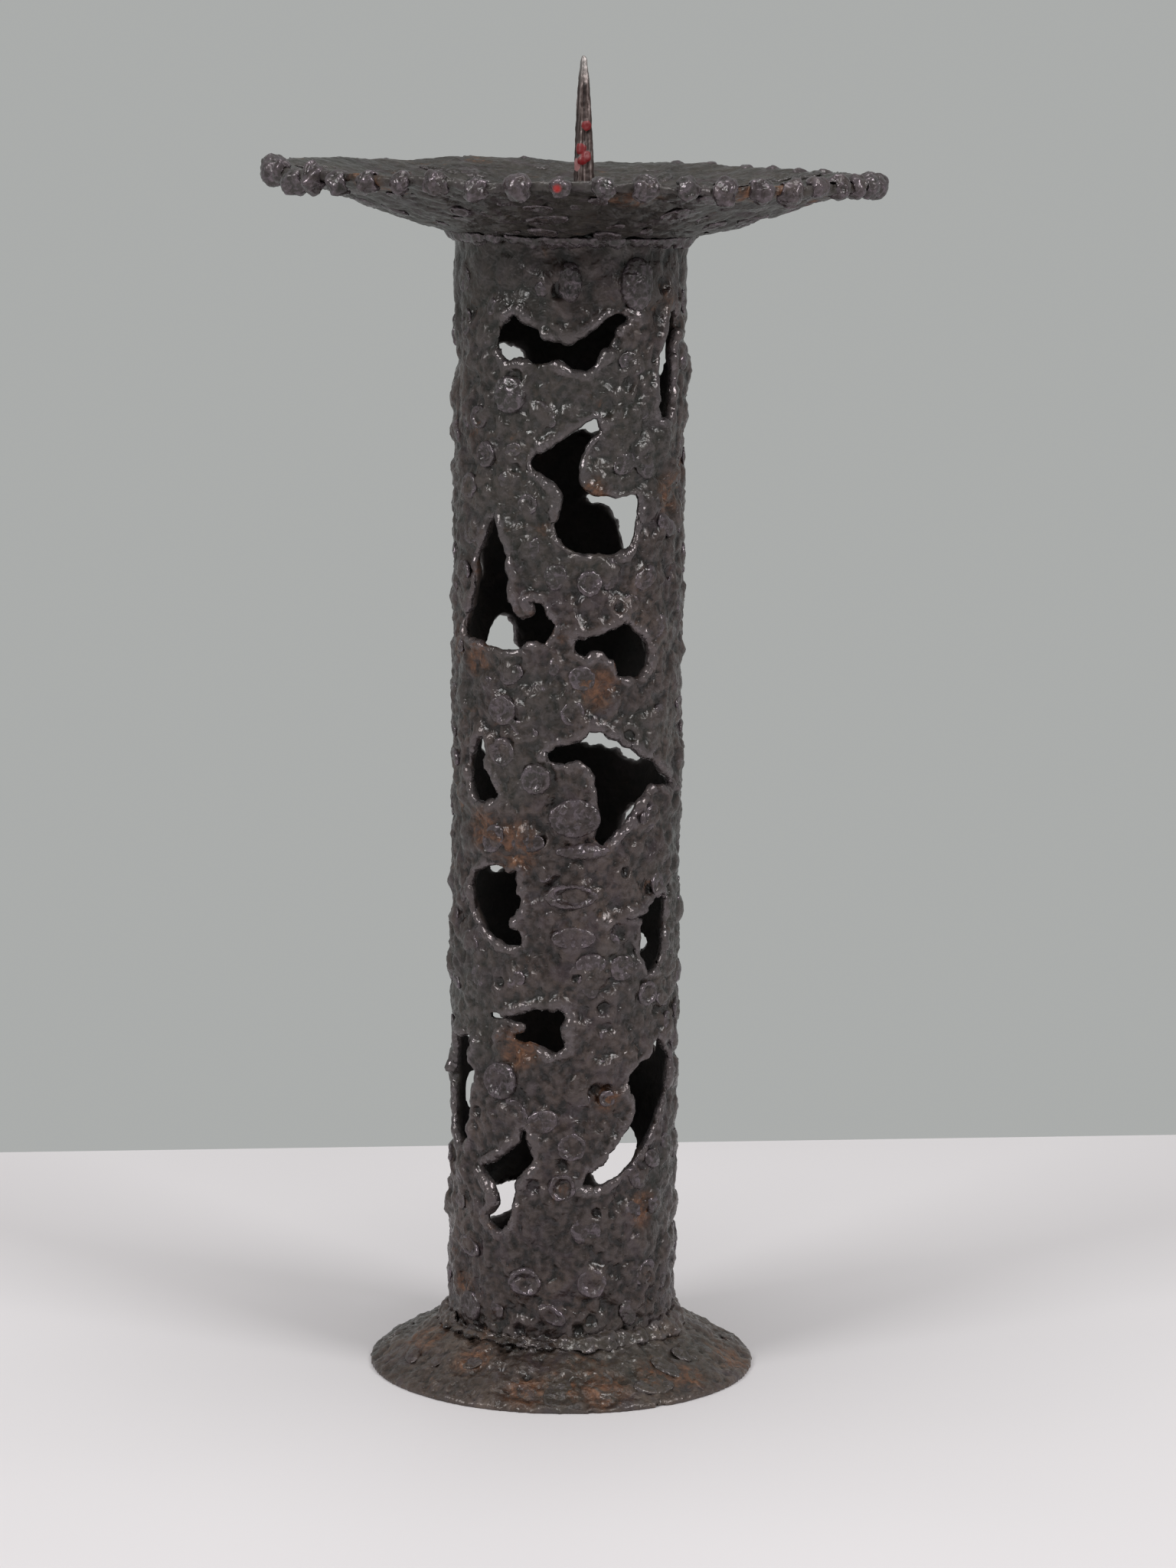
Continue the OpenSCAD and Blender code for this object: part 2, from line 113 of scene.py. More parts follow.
def normals(piece):
    found = np.zeros(len(piece.data.vertices) * 3, np.float32)
    piece.data.vertices.foreach_get("normal", found)
    return found.reshape(-1, 3).astype(float)


def triangles(piece):
    piece.data.calc_loop_triangles()
    return len(piece.data.loop_triangles)


# %% [markdown]
# A CAD node is never changed. Its twin is a copy whose loose triangles are merged, and then a
# voxel remesh turns the twin into an even skin, like clay rolled to one thickness. That skin can
# be pushed in and out by textures, as a sculptor works it.


# %% A twin of a CAD node, an even skin and a push
def twin(name, *nodes):
    copies = []
    for node in nodes:
        copy = bpy.data.objects.new(name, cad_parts[node].data.copy())
        bpy.context.scene.collection.objects.link(copy)
        copies.append(copy)
    bpy.ops.object.select_all(action="DESELECT")
    for copy in copies:
        copy.select_set(True)
    bpy.context.view_layer.objects.active = copies[0]
    if len(copies) > 1:
        bpy.ops.object.join()
    piece = copies[0]
    piece.data.materials.clear()
    bpy.ops.object.mode_set(mode="EDIT")
    bpy.ops.mesh.select_all(action="SELECT")
    bpy.ops.mesh.remove_doubles(threshold=0.001 * MM)
    bpy.ops.object.mode_set(mode="OBJECT")
    return piece


def even_skin(piece, voxel, rounds=2):
    finish_with(piece, "REMESH", mode="VOXEL", voxel_size=voxel, use_smooth_shade=True)
    finish_with(piece, "SMOOTH", factor=0.5, iterations=rounds)


def texture(kind, size, **settings):
    made = bpy.data.textures.new(f"{kind} {size / MM:.1f}", kind)
    made.noise_scale = size
    for name, value in settings.items():
        setattr(made, name, value)
    return made


def push(piece, pattern, height, group="", middle=0.5, direction="NORMAL"):
    finish_with(piece, "DISPLACE", texture=pattern, texture_coords="LOCAL", strength=height,
                mid_level=middle, direction=direction, vertex_group=group)


def lumps(piece, size, height, group="", direction="NORMAL"):
    push(piece, texture("CLOUDS", size, noise_depth=2), height, group, direction=direction)


def scales(piece, size, height, group=""):
    cells = texture("VORONOI", size, distance_metric="DISTANCE_SQUARED")
    push(piece, cells, -height, group, middle=0.3)


def paint_group(piece, name, values):
    """Gives each vertex a weight, in steps of a fortieth."""
    steps = 40
    group = piece.vertex_groups.new(name=name)
    level = np.round(np.clip(values, 0, 1) * steps).astype(int)
    for step in range(1, steps + 1):
        members = np.nonzero(level == step)[0]
        if len(members):
            group.add(members.tolist(), step / steps, "REPLACE")


def paint(piece, name, values):
    """Stores one value per vertex for the materials to read."""
    layer = piece.data.attributes.new(name, "FLOAT", "POINT")
    layer.data.foreach_set("value", np.clip(values, 0, 1).astype(np.float32))


def thin_to(piece, limit):
    count = triangles(piece)
    if count > limit:
        finish_with(piece, "DECIMATE", ratio=limit / count)


def rise(values, low, high):
    """Goes smoothly from 0 at low to 1 at high."""
    share = np.clip((values - low) / (high - low), 0, 1)
    return share * share * (3 - 2 * share)


def surface_of(node, keep=None):
    """A CAD node's faces for measuring distances, or only those whose centre and normal pass keep."""
    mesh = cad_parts[node].data
    faces = [f.vertices[:] for f in mesh.polygons if keep is None or keep(f.center, f.normal)]
    return BVHTree.FromPolygons([v.co for v in mesh.vertices], faces)


def distances(piece, surface, reach):
    found = np.full(len(piece.data.vertices), reach)
    for i, vertex in enumerate(piece.data.vertices):
        place, _, _, distance = surface.find_nearest(vertex.co, reach)
        if place is not None:
            found[i] = distance
    return found


# The relief feeds the materials: recesses get painted shade, raised places a lighter tone.
def paint_relief(piece, rounds=12, span=0.35 * MM):
    """Raised places get a value over a half and hollows one under it, against a smoothed copy."""
    smooth = piece.copy()
    smooth.data = piece.data.copy()
    bpy.context.scene.collection.objects.link(smooth)
    finish_with(smooth, "SMOOTH", factor=0.5, iterations=rounds)
    height = ((points(piece) - points(smooth)) * normals(piece)).sum(1)
    paint(piece, "relief", 0.5 + 0.5 * height / span)
    bpy.data.objects.remove(smooth)


def wear(piece, slot, *nodes):
    """The last step for a piece: its relief, smooth shading, its CAD nodes and its body. slot is not used.
    """
    paint_relief(piece)
    pick(piece)
    bpy.ops.object.shade_smooth()
    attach(piece, "root")
    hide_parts(*nodes)
    print(piece.name, triangles(piece), "triangles")


# %% [markdown]
# ## Sizes from the frame
# Places on the tube are given as they were measured: an arc round the tube from its front line,
# positive to the right, and a height above the table, both in millimetres.

# %% Sizes and places on the tube
tube_low, tube_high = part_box("column_tube")
pan_low, pan_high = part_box("drip_pan")
foot_low, foot_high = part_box("foot_plate")
TUBE_R = tube_high.x
TUBE_WALL = 3.2 * MM


def on_tube(arc, height):
    turn = arc * MM / TUBE_R
    return Vector((TUBE_R * math.sin(turn), -TUBE_R * math.cos(turn), height * MM))


def spots(table):
    """A table of places and radii in millimetres, ready for near."""
    return [(Vector(place) * MM, radius * MM) for place, radius in table]


def near(piece, places):
    """A mask of soft round spots: one (place, radius) for each."""
    where = points(piece)
    mask = np.zeros(len(where))
    for place, radius in places:
        gap = np.linalg.norm(where - np.array(place), axis=1)
        mask = np.maximum(mask, 1 - rise(gap, 0.35 * radius, radius))
    return mask


print("tube radius, mm:", round(TUBE_R / MM, 2))

# %% [markdown]
# ## Weld drops
# A drop of weld metal is a small round puddle. Some freeze as domes, some as flat coins, and many
# shrink in the middle and leave a raised ring. Each kind is modelled once as a short cylinder whose
# top is inset and moved step by step, then rounded by subdivision. Copies stand where the CAD
# drops stand, turned to the face they ran onto.


# %% The kinds of drop
def drop_kind(name, steps, sides=14, foot=0.35):
    """steps are (inset, lift) pairs that shape the top of a cylinder of radius 1."""
    bpy.ops.object.select_all(action="DESELECT")
    bpy.ops.mesh.primitive_cylinder_add(vertices=sides, radius=1, depth=2 * foot, location=(0, 0, 0))
    piece = bpy.context.object
    piece.name = name
    bpy.ops.object.mode_set(mode="EDIT")
    bpy.ops.mesh.select_all(action="DESELECT")
    bpy.ops.mesh.select_mode(type="FACE")
    mesh = bmesh.from_edit_mesh(piece.data)
    for face in mesh.faces:
        face.select = face.normal.z > 0.9
    bmesh.update_edit_mesh(piece.data)
    for inset, lift in steps:
        bpy.ops.mesh.inset(thickness=inset)
        bpy.ops.transform.translate(value=(0, 0, lift))
    bpy.ops.object.mode_set(mode="OBJECT")
    finish_with(piece, "SUBSURF", levels=1, render_levels=1)
    bpy.context.scene.collection.objects.unlink(piece)
    return piece


KINDS = {
    "dome": drop_kind("dome", [(0.22, 0.16), (0.28, 0.12), (0.25, 0.05)]),
    "coin": drop_kind("coin", [(0.14, 0.1), (0.2, 0.0), (0.3, -0.06)]),
    "ring": drop_kind("ring", [(0.12, 0.14), (0.2, -0.04), (0.2, -0.2), (0.25, -0.08)]),
    "crater": drop_kind("crater", [(0.12, 0.2), (0.16, 0.0), (0.18, -0.4), (0.25, -0.12)]),
}


# %% Setting a drop on a face
def stand(kind, place, normal, radius, height, stretch, spin):
    """A copy of a kind, set on a face: height and stretch are shares of the radius."""
    copy = KINDS[kind].copy()
    copy.data = KINDS[kind].data.copy()
    bpy.context.scene.collection.objects.link(copy)
    turn = normal.to_track_quat("Z", "Y").to_matrix().to_4x4()
    size = Matrix.Diagonal((radius * stretch, radius / stretch, radius * height, 1))
    copy.data.transform(Matrix.Translation(place) @ turn @ Matrix.Rotation(spin, 4, "Z") @ size)
    return copy


# %% Where the CAD drops stand
def loose_parts(node):
    """The points of each separate solid of a CAD node."""
    heap = twin("heap", node)
    bpy.ops.object.mode_set(mode="EDIT")
    bpy.ops.mesh.select_all(action="SELECT")
    bpy.ops.mesh.separate(type="LOOSE")
    bpy.ops.object.mode_set(mode="OBJECT")
    parts = []
    for part in list(bpy.context.selected_objects):
        parts.append(points(part))
        bpy.data.objects.remove(part)
    return sorted(parts, key=lambda where: tuple(np.round(where.mean(0), 5)))


def drop_places(node, carrier):
    """The foot of each drop on its carrier, that face's normal and the drop's radius."""
    surface = surface_of(carrier)
    found = []
    for where in loose_parts(node):
        centre = where.mean(0)
        place, normal, _, _ = surface.find_nearest(Vector(centre))
        found.append((place, normal, 0.95 * np.linalg.norm(where - centre, axis=1).max()))
    return found


# %% [markdown]
# The tube swells a little round the foot of each drop, so the places are found before the tube is
# shaped.

# %% Where the tube swells under its drops
TUBE_BANDS = ["upper_column_drops", "middle_column_drops", "lower_column_drops"]
PLACES = {node: drop_places(node, "column_tube") for node in TUBE_BANDS}
SWELLS = [(place, 1.7 * radius) for node in TUBE_BANDS for place, normal, radius in PLACES[node]]
print("drops on the tube:", len(SWELLS))


# %% [markdown]
# ## The column
# The wall of the tube is not smooth anywhere. Molten metal has run over it in flat puddles, small
# craters are burnt into it, and each cut edge has a rounded, slightly raised lip. The push of the
# puddles is a cell pattern whose bulges meet in creases, and the lips follow the distance to the
# nearest cut face. Only a band under the pan is calmer. Patches of wall, each given by its arcs and
# heights, close stretches of the guessed back openings where the photograph shows no gap.

# %% Column
COLUMN_LIMIT = 196000
CALM_BAND = (356 * MM, 364 * MM)
DENTS = 150
PLUGS = [(-99, -83, 262, 287), (89, 107, 236, 253), (-104, -88, 155, 165), (82, 90, 97, 106),
         (-121, -112, 96, 103), (101, 117, 198, 206.5), (87, 93, 144, 152)]
RUST_ON_TUBE = [((11, 238), 9), ((-17, 185), 11), ((-15, 117), 10), ((15, 100), 6), ((-34, 246), 8),
                ((8, 302), 7), ((-30, 190), 9), ((30, 60), 8), ((-40, 30), 8), ((40, 300), 9)]


def wall_patch(arc_low, arc_high, low, high):
    """A piece of tube wall: a ring of the tube's radius with all but one stretch of faces deleted."""
    bpy.ops.object.select_all(action="DESELECT")
    bpy.ops.mesh.primitive_cylinder_add(vertices=160, radius=TUBE_R, depth=(high - low) * MM,
                                        end_fill_type="NOTHING", location=(0, 0, (low + high) / 2 * MM))
    patch = bpy.context.object
    pick(patch)
    bpy.ops.object.transform_apply(location=True, rotation=True, scale=True)
    bpy.ops.object.mode_set(mode="EDIT")
    bpy.ops.mesh.select_all(action="DESELECT")
    mesh = bmesh.from_edit_mesh(patch.data)
    for face in mesh.faces:
        centre = face.calc_center_median()
        arc = math.atan2(centre.x, -centre.y) * TUBE_R / MM
        face.select = not arc_low <= arc <= arc_high
    bmesh.update_edit_mesh(patch.data)
    bpy.ops.mesh.delete(type="FACE")
    bpy.ops.object.mode_set(mode="OBJECT")
    finish_with(patch, "SOLIDIFY", thickness=TUBE_WALL, offset=-1)
    return patch


def join(pieces, name):
    bpy.ops.object.select_all(action="DESELECT")
    for piece in pieces:
        piece.select_set(True)
    bpy.context.view_layer.objects.active = pieces[0]
    bpy.ops.object.join()
    pieces[0].name = name
    return pieces[0]


def strewn_dents(count, seed):
    """Small craters burnt into the tube: each is a place and a radius."""
    draw = random.Random(seed)
    return [(on_tube(draw.uniform(-120, 120), draw.uniform(14, 372)), draw.uniform(2.4, 5.0) * MM)
            for _ in range(count)]


def make_column():
    plugs = [wall_patch(*plug) for plug in PLUGS]
    column = join([twin("column", "column_tube"), *plugs], "column")
    even_skin(column, 0.85 * MM, rounds=3)

    def is_cut(centre, normal):
        outward = Vector((centre.x, centre.y, 0)).normalized()
        return abs(normal.dot(outward)) < 0.5 and abs(normal.z) < 0.98

    edge_gap = distances(column, surface_of("column_tube", is_cut), 6 * MM)
    where = points(column)
    radius = np.hypot(where[:, 0], where[:, 1])
    outside = rise(radius, TUBE_R - 2.4 * MM, TUBE_R - 0.9 * MM)
    cut = 1 - rise(edge_gap, 0.3 * MM, 1.6 * MM)
    lip = outside * (1 - rise(edge_gap, 0.8 * MM, 3.6 * MM))
    paint_group(column, "outside", outside)
    paint_group(column, "inside", 1 - outside)
    paint_group(column, "cut", cut)
    calm = rise(where[:, 2], *CALM_BAND)
    paint_group(column, "skin", outside * (1 - 0.8 * cut) * (1 - 0.7 * calm))
    paint_group(column, "lip", lip)
    paint_group(column, "swollen", outside * near(column, SWELLS))
    dents = strewn_dents(DENTS, seed=7)
    hole = near(column, dents)
    around = near(column, [(place, 1.9 * radius) for place, radius in dents])
    paint_group(column, "dented", outside * hole)
    paint_group(column, "brim", outside * np.clip(around - hole, 0, 1))
    lumps(column, 22 * MM, 1.8 * MM)
    finish_with(column, "DISPLACE", strength=0.7 * MM, mid_level=0, vertex_group="swollen")
    scales(column, 10 * MM, 2.2 * MM, "outside")
    lumps(column, 7 * MM, 2.0 * MM, "cut")
    lumps(column, 5 * MM, 1.9 * MM, "skin")
    push(column, texture("CLOUDS", 6 * MM, noise_depth=1), 2.8 * MM, "lip", middle=0.36)
    finish_with(column, "DISPLACE", strength=0.5 * MM, mid_level=0, vertex_group="lip")
    finish_with(column, "DISPLACE", strength=-0.8 * MM, mid_level=0, vertex_group="dented")
    finish_with(column, "DISPLACE", strength=0.8 * MM, mid_level=0, vertex_group="brim")
    lumps(column, 2.6 * MM, 1.4 * MM, "skin")
    lumps(column, 9 * MM, 1.6 * MM, "inside")
    where = points(column)
    radius = np.hypot(where[:, 0], where[:, 1])
    # The inside wall is marked for painted shade, which the materials mix in as near black.
    paint(column, "inner_wall_shade", 1 - rise(radius, TUBE_R - 3.2 * MM, TUBE_R - 1.2 * MM))
    paint(column, "bare", lip * 0.7)
    paint(column, "rust", near(column, [(on_tube(*place), size * MM) for place, size in RUST_ON_TUBE]))
    thin_to(column, COLUMN_LIMIT)
    wear(column, "column_iron", "column_tube")
    return column


column = make_column()

# %% [markdown]
# ## Drops in bands
# The drops of one band become one skin. Some spots are matched to the photograph one by one: a
# tall nodule, a broad oval and a shiny dome near the top, and the rings and craters below them.

# %% Drops in bands
FEATURES = {
    "upper_weld_drops": [
        ("dome", (0, 371), 5.4, 1.7, 0.9), ("dome", (-9, 369), 3.2, 1.2, 0.9),
        ("dome", (23, 370), 8.0, 1.4, 0.5), ("dome", (-20, 334), 6.6, 1.0, 0.85),
        ("ring", (-33, 326), 4.2, 1.0, 0.9), ("ring", (-30, 314), 4.4, 1.1, 0.9),
        ("ring", (7, 273), 4.6, 1.0, 0.9)],
    "middle_weld_drops": [
        ("ring", (-22, 230), 5.4, 1.0, 0.8), ("ring", (2, 230), 4.4, 1.0, 0.8),
        ("ring", (-22, 216), 5.2, 1.0, 0.8), ("ring", (-10, 208), 5.4, 1.0, 0.8),
        ("coin", (3, 195), 8.0, 0.75, 0.5), ("dome", (6, 184), 5.4, 0.3, 0.8),
        ("crater", (2, 169), 6.6, 0.45, 0.7), ("coin", (3, 155), 5.6, 0.5, 0.7),
        ("dome", (9, 146), 4.6, 0.6, 0.6)],
    "lower_weld_drops": [
        ("ring", (15, 100), 3.0, 1.0, 0.9), ("ring", (-22, 105), 6.8, 1.0, 0.6),
        ("ring", (3, 84), 5.2, 1.0, 0.8), ("crater", (0, 70), 5.0, 1.0, 0.8),
        ("ring", (10, 37), 5.6, 1.0, 0.8), ("ring", (-12, 37), 5.6, 0.8, 0.9),
        ("coin", (-35, 25), 5.6, 1.0, 0.7)],
}
LONGEST = 1.45
GROWN = 1.1
DROP_VOXEL = 0.5 * MM
FEATURE_SUNK = 0.4 * MM
FEATURE_MARGIN = 3 * MM


def feature(kind, spot, radius, tall, height):
    """One matched spot: its radius is in millimetres, and tall is its height over its width."""
    place = on_tube(*spot)
    outward = Vector((place.x, place.y, 0)).normalized()
    return stand(kind, place - outward * FEATURE_SUNK, outward, radius * MM, height,
                 1 / math.sqrt(tall), 0)


def strew_drops(name, places, node, seed, slot, flat=0.55, sunk=0.3 * MM):
    draw = random.Random(seed)
    copies = [feature(*row) for row in FEATURES.get(name, [])]
    taken = [on_tube(*row[1]) for row in FEATURES.get(name, [])]
    for place, normal, radius in places:
        kind = draw.choices(["dome", "coin", "ring", "crater"], [5, 4, 3, 1])[0]
        stretch = draw.uniform(1, LONGEST)
        height = flat * draw.uniform(0.55, 1.15)
        spin = draw.uniform(0, 2 * math.pi)
        size = radius * GROWN * draw.uniform(0.75, 1.3)
        if all((place - spot).length > size + FEATURE_MARGIN for spot in taken):
            copies.append(stand(kind, place - normal * sunk, normal, size, height, stretch, spin))
    piece = join(copies, name)
    even_skin(piece, DROP_VOXEL, rounds=1)
    lumps(piece, 4.5 * MM, 1.3 * MM)
    lumps(piece, 1.8 * MM, 0.6 * MM)
    paint(piece, "bare", np.full(len(piece.data.vertices), 0.6))
    thin_to(piece, COLUMN_LIMIT)
    wear(piece, slot, node)
    return piece


upper_drops, middle_drops, lower_drops = [
    strew_drops(name, PLACES[node], node, seed, "weld_metal")
    for seed, (name, node) in enumerate(zip(FEATURES, TUBE_BANDS), 1)]
underside_drops = strew_drops("underside_puddles", drop_places("pan_underside_drops", "drip_pan"),
                              "pan_underside_drops", 4, "weld_metal", flat=0.4)
floor_drops = strew_drops("pan_puddles", drop_places("pan_floor_drops", "drip_pan"),
                          "pan_floor_drops", 5, "weld_metal", flat=0.4)
foot_puddles = strew_drops("foot_puddles", drop_places("foot_drops", "foot_plate"),
                           "foot_drops", 6, "foot_iron", flat=0.5, sunk=0.7 * MM)

# %% [markdown]
# ## The drip pan
# The pan is a round plate beaten into a shallow dish. Its rim waves a little, its floor shows
# broad hammer dents, and its underside is rough with metal that ran outwards.


# %% Drip pan
RUST_ON_PAN = [((60, -78, 400), 20), ((-62, -70, 400), 14), ((85, -30, 400), 16), ((20, -88, 400), 12)]


def make_pan():
    pan = twin("drip_pan_dish", "drip_pan")
    even_skin(pan, 1.0 * MM)
    where = points(pan)
    facing = normals(pan)
    radius = np.hypot(where[:, 0], where[:, 1])
    rim = rise(radius, 60 * MM, 99 * MM)
    under = rise(-facing[:, 2], -0.1, 0.3)
    paint_group(pan, "rim", rim)
    paint_group(pan, "under", under)
    paint_group(pan, "floor", 1 - under)
    lumps(pan, 24 * MM, 3.2 * MM, "rim", direction="Z")
    lumps(pan, 18 * MM, 1.2 * MM, "floor")
    lumps(pan, 7 * MM, 0.7 * MM, "floor")
    scales(pan, 8.5 * MM, 1.9 * MM, "under")
    lumps(pan, 4.5 * MM, 1.3 * MM, "under")
    lumps(pan, 2.8 * MM, 0.5 * MM)
    paint(pan, "rust", near(pan, spots(RUST_ON_PAN)))
    thin_to(pan, COLUMN_LIMIT)
    wear(pan, "pan_iron", "drip_pan")
    return pan


pan = make_pan()


# %% Rim beads
WAX_ON_RIM = [((-4.1, -102.5, 403.5), 1.8)]


def make_rim_beads():
    beads = twin("rim_weld_beads", "rim_beads")
    even_skin(beads, 0.6 * MM, rounds=2)
    where = points(beads)
    left = rise(-where[:, 0], 30 * MM, 80 * MM) * rise(-where[:, 1], 0, 50 * MM)
    paint_group(beads, "hanging", left)
    paint_group(beads, "far", rise(where[:, 1], 5 * MM, 45 * MM))
    finish_with(beads, "DISPLACE", direction="Z", strength=-2.8 * MM, mid_level=0, vertex_group="far")
    push(beads, texture("CLOUDS", 8 * MM, noise_depth=1), 5 * MM, "hanging", middle=0.75, direction="Z")
    lumps(beads, 7 * MM, 3.2 * MM)
    lumps(beads, 3 * MM, 1.6 * MM)
    paint(beads, "bare", np.full(len(beads.data.vertices), 0.5))
    paint(beads, "wax", near(beads, spots(WAX_ON_RIM)))
    thin_to(beads, COLUMN_LIMIT)
    wear(beads, "weld_metal", "rim_beads")
    return beads


rim_beads = make_rim_beads()

# %% [markdown]
# ## The foot and the weld seams
# The foot is the roughest plate: it has scale, pits and rust, and its thin edge is nicked. The
# seams are lumpy runs of weld metal, laid by hand.

# %% Foot
PITS = [((-19.7, -45.8, 10.0), 2.2), ((-10.9, -50.6, 8.9), 3.2), ((2.7, -52.4, 8.5), 2.4)]
NICKS = [((10.9, -65.6, 0.6), 2.0), ((34.0, -56.1, 0.6), 2.6)]
RUST_ON_FOOT = [((-45, -14, 11), 12), ((-30, -40, 12), 9), ((15, -56, 6.5), 12), ((34, -43, 8), 11),
                ((43, -39, 5), 9), ((0, -56, 5), 10), ((-12, -58, 5), 9), ((57, -13, 5), 12)]


def make_foot():
    foot = twin("foot_dish", "foot_plate")
    even_skin(foot, 0.8 * MM)
    paint_group(foot, "pits", near(foot, spots(PITS)))
    paint_group(foot, "nicks", near(foot, spots(NICKS)))
    where = points(foot)
    paint_group(foot, "worked", rise(where[:, 2], 0.6 * MM, 2.4 * MM))
    lumps(foot, 16 * MM, 2.2 * MM, "worked")
    scales(foot, 9 * MM, 1.8 * MM, "worked")
    lumps(foot, 4.5 * MM, 1.7 * MM, "worked")
    lumps(foot, 2.4 * MM, 1.1 * MM, "worked")
    finish_with(foot, "DISPLACE", strength=-2.2 * MM, mid_level=0, vertex_group="pits")
    finish_with(foot, "DISPLACE", strength=-1.4 * MM, mid_level=0, vertex_group="nicks")
    paint(foot, "rust", near(foot, spots(RUST_ON_FOOT)))
    wear(foot, "foot_iron", "foot_plate")
    return foot


foot = make_foot()


# %% Weld seams
SEAM_FADE = 14


def make_seam(name, node, voxel, rough, fine, thick=None, thin=None):
    """thick and thin are stretches of the seam, in degrees round from the front."""
    seam = twin(name, node)
    even_skin(seam, voxel)
    where = points(seam)
    turn = np.degrees(np.arctan2(where[:, 0], -where[:, 1]))
    for group, stretch, height in (("thick", thick, 0.8 * MM), ("thin", thin, -1.3 * MM)):
        if stretch:
            start, end = stretch
            share = rise(turn, start, start + SEAM_FADE) * (1 - rise(turn, end - SEAM_FADE, end))
            paint_group(seam, group, share)
            finish_with(seam, "DISPLACE", strength=height, mid_level=0, vertex_group=group)
    lumps(seam, 7 * MM, rough)
    lumps(seam, 3 * MM, fine)
    paint(seam, "bare", np.full(len(seam.data.vertices), 0.55))
    wear(seam, "weld_metal", node)
    return seam


foot_seam = make_seam("foot_weld_seam", "foot_weld", 0.6 * MM, 3.4 * MM, 1.4 * MM,
                      thick=(8, 100), thin=(-75, 6))
pan_seam = make_seam("pan_weld_seam", "pan_weld", 0.6 * MM, 2.6 * MM, 1.4 * MM)
spike_seam = make_seam("spike_weld", "pricket_weld", 0.4 * MM, 0.8 * MM, 0.6 * MM)

# %% [markdown]
# ## The spike
# The spike was drawn out square on an anvil. Its corners are worn, its faces carry long hammer
# flats, and its tip is rubbed bright. A little red wax is left on its lower half.


# %% Spike
RED_WAX = [((4.8, -2.3, 420.0), 2.6), ((2.8, -2.6, 412.5), 2.8), ((4.6, -2.8, 410.0), 2.8),
           ((3.4, -2.6, 408.6), 2.2)]
PINK_WAX = [((1.0, -1.8, 407.2), 3.4)]


def make_spike():
    spike = twin("spike", "pricket")
    even_skin(spike, 0.35 * MM, rounds=2)
    lumps(spike, 7 * MM, 0.7 * MM)
    lumps(spike, 2.5 * MM, 0.35 * MM)
    red = near(spike, spots(RED_WAX))
    paint_group(spike, "waxed", red)
    finish_with(spike, "DISPLACE", strength=0.5 * MM, mid_level=0, vertex_group="waxed")
    paint(spike, "wax", red)
    paint(spike, "pink", near(spike, spots(PINK_WAX)))
    height = points(spike)[:, 2]
    top = height.max()
    paint(spike, "bare", rise(height, top - 11 * MM, top - 1 * MM))
    wear(spike, "spike_steel", "pricket")
    return spike


spike = make_spike()

# %% [markdown]
# ## Materials
# All the iron is one recipe with different amounts: a mottled dark oxide with brown, purplish and
# greenish patches, rust where it is painted, and small glints where the skin is smooth. Hollows are
# darkened as painted shade, raised places are mixed lighter, and the inside of the tube is painted
# near black as painted shade. Relief that is too small to model comes from bump. Every pattern
# is measured on Object coordinates.


# %% Wiring helpers
def add(tree, kind, sockets=None, **settings):
    made = tree.nodes.new("ShaderNode" + kind)
    for name, value in settings.items():
        setattr(made, name, value)
    for name, value in (sockets or {}).items():
        if isinstance(value, bpy.types.NodeSocket):
            tree.links.new(value, made.inputs[name])
        else:
            made.inputs[name].default_value = value
    return made


def noise(tree, where, scale, detail=5.0, roughness=0.6, distortion=0.0):
    made = add(tree, "TexNoise", {"Vector": where, "Scale": scale, "Detail": detail,
                                  "Roughness": roughness, "Distortion": distortion})
    return made.outputs["Fac"]


def ramp(tree, value, *stops):
    made = add(tree, "ValToRGB", {"Fac": value})
    steps = made.color_ramp.elements
    while len(steps) < len(stops):
        steps.new(0.5)
    for step, (place, tone) in zip(steps, stops):
        step.position = place
        step.color = (*tone, 1) if len(tone) == 3 else tone
    return made.outputs["Color"]


def grey(level):
    return (level, level, level)


def mask(tree, value, low, high):
    made = add(tree, "MapRange", {"Value": value, "From Min": low, "From Max": high},
               interpolation_type="SMOOTHSTEP")
    return made.outputs["Result"]


def maths(tree, operation, a, b):
    return add(tree, "Math", {0: a, 1: b}, operation=operation, use_clamp=True).outputs[0]


def mix(tree, share, a, b, how="MIX"):
    made = add(tree, "Mix", {0: share, 6: a, 7: b}, data_type="RGBA", blend_type=how)
    return made.outputs[2]


def mix_value(tree, share, a, b):
    return add(tree, "Mix", {0: share, 2: a, 3: b}, data_type="FLOAT").outputs[0]


def painted(tree, name):
    return add(tree, "Attribute", attribute_name=name).outputs["Fac"]


def blank(name):
    made = bpy.data.materials.new(name)
    made.use_nodes = True
    tree = made.node_tree
    shader = tree.nodes["Principled BSDF"]
    where = add(tree, "TexCoord").outputs["Object"]
    return made, tree, shader, where


